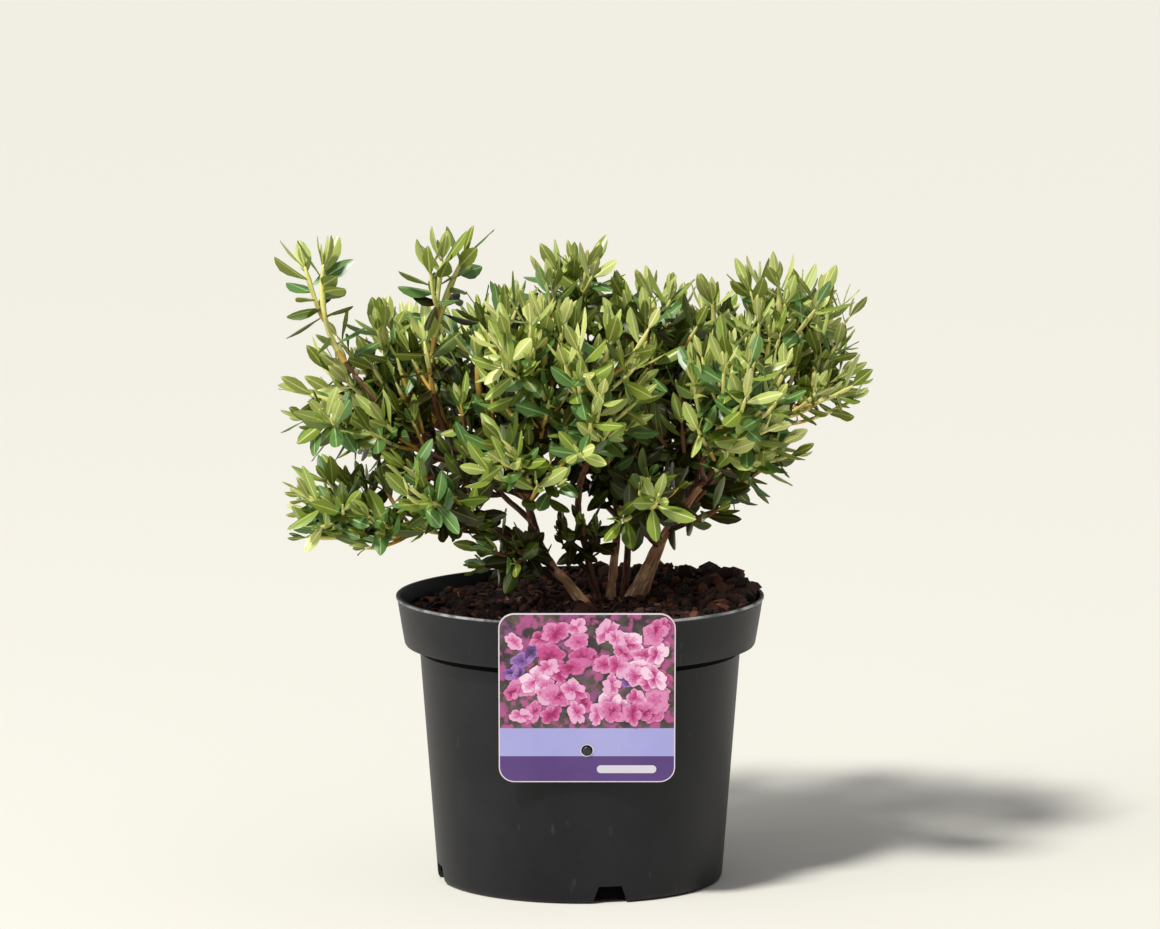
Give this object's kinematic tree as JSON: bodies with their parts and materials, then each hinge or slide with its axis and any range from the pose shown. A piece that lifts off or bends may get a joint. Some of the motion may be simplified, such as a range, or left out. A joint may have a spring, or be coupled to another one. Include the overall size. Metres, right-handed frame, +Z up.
{
  "type": "potted rhododendron",
  "caption": "Dwarf evergreen rhododendron with a full crown of small leaves on bare woody stems, rooted in compost in a round dark nursery pot with a plain picture label.",
  "frame": {"origin": "middle of the pot's flat underside, at the level it stands on", "axes": "+Z up, -Y towards the front, where the label hangs, +X to the right seen from the front"},
  "size_m": [0.308, 0.2425, 0.3428],
  "materials": {
    "pot_plastic": "charcoal black, satin",
    "compost": "moist bark compost, rough",
    "label_card": null,
    "stud_plastic": "black, satin",
    "bark": "brown bark, rough",
    "foliage": "leathery green leaves on green and yellow-green twigs"
  },
  "bodies": {
    "root": {"pot": "pot_plastic", "soil": "compost", "label": "label_card", "label_stud": "stud_plastic", "stem_left": "bark", "stem_centre": "bark", "stem_back": "bark", "stem_right": "bark", "stem_rear_right": "bark", "stem_rear": "bark", "bough_left_rise": "bark", "bough_left_low": "bark", "bough_left_shelf": "bark", "bough_left_crest": "bark", "bough_far_left": "bark", "bough_centre_left": "bark", "bough_centre_low": "bark", "bough_crest_left": "bark", "bough_crest_right": "bark", "bough_right_low": "bark", "bough_far_right": "bark", "bough_right_top": "bark", "bough_right_corner": "bark", "bough_right_crest": "bark", "bough_right_front": "bark", "bough_low_front": "bark", "bough_back_left": "bark", "bough_back_centre": "bark", "foliage_far_left_spire": "foliage", "foliage_left_shelf": "foliage", "foliage_low_left": "foliage", "foliage_left_crest": "foliage", "foliage_tall_spire": "foliage", "foliage_mid_left": "foliage", "foliage_inner_left": "foliage", "foliage_centre_left": "foliage", "foliage_centre_front": "foliage", "foliage_crest_left": "foliage", "foliage_crest_centre": "foliage", "foliage_crest_right": "foliage", "foliage_right_crest": "foliage", "foliage_right_top": "foliage", "foliage_right_corner": "foliage", "foliage_far_right": "foliage", "foliage_right_front": "foliage", "foliage_right_low": "foliage", "foliage_inner_right": "foliage", "foliage_centre_low": "foliage", "foliage_low_front": "foliage", "foliage_centre_inner": "foliage", "foliage_back_left": "foliage", "foliage_back_centre": "foliage", "foliage_back_right": "foliage", "foliage_rear_right": "foliage", "foliage_inner_back": "foliage", "foliage_low_back_left": "foliage", "foliage_low_back_right": "foliage", "foliage_low_inner": "foliage", "foliage_low_centre": "foliage", "foliage_low_right_twig": "foliage"}
  },
  "joints": []
}
